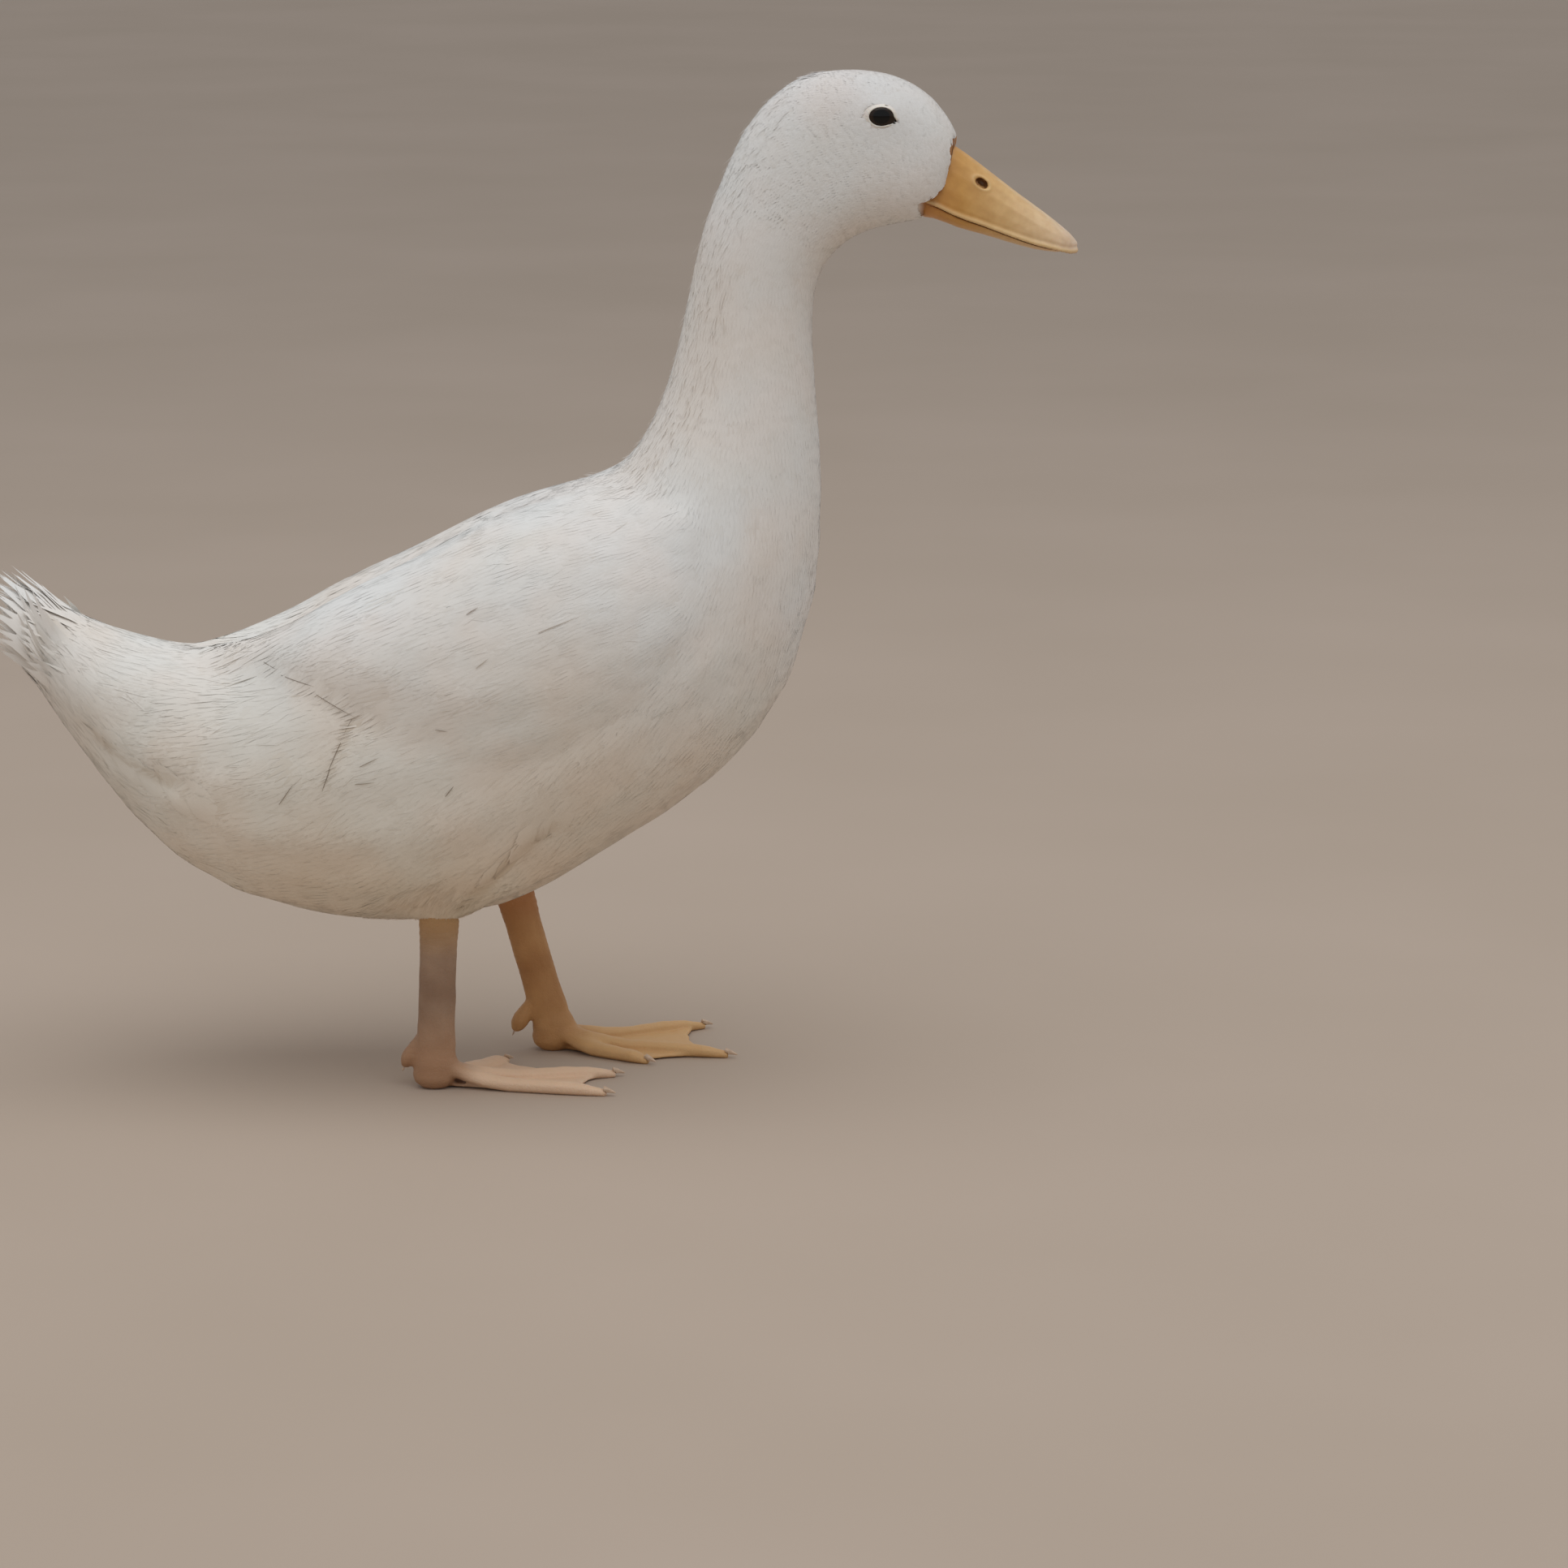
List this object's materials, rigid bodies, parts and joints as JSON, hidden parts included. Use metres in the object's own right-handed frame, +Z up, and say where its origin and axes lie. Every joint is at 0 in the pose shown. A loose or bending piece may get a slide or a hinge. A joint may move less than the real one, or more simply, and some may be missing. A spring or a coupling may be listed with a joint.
{
  "type": "white pekin duck",
  "caption": "White Pekin-type domestic duck, a still life-size museum model standing with its neck up and its far foot a little ahead.",
  "frame": {"origin": "on the floor, under the middle of the duck's bounding box", "axes": "+X towards the bill, +Y to the duck's left, +Z up"},
  "size_m": [0.4382, 0.1506, 0.4126],
  "materials": {
    "plumage": "soft matt feathers",
    "bill": "waxy satin",
    "leg_skin": "fine scales, matt",
    "claw": "pale horn",
    "eye": "wet gloss"
  },
  "bodies": {
    "root": {"trunk": "plumage", "neck": "plumage", "head": "plumage", "tail": "plumage", "wing_left_coverts": "plumage", "wing_left_flight": "plumage", "wing_right_coverts": "plumage", "wing_right_flight": "plumage", "thigh_left": "plumage", "thigh_right": "plumage", "bill_upper": "bill", "bill_lower": "bill", "eye_left": "eye", "eye_right": "eye", "shank_left": "leg_skin", "foot_left": "leg_skin", "hind_toe_left": "leg_skin", "shank_right": "leg_skin", "foot_right": "leg_skin", "hind_toe_right": "leg_skin", "claw_left_middle": "claw", "claw_left_outer": "claw", "claw_left_inner": "claw", "claw_left_hind": "claw", "claw_right_middle": "claw", "claw_right_outer": "claw", "claw_right_inner": "claw", "claw_right_hind": "claw"}
  },
  "joints": []
}
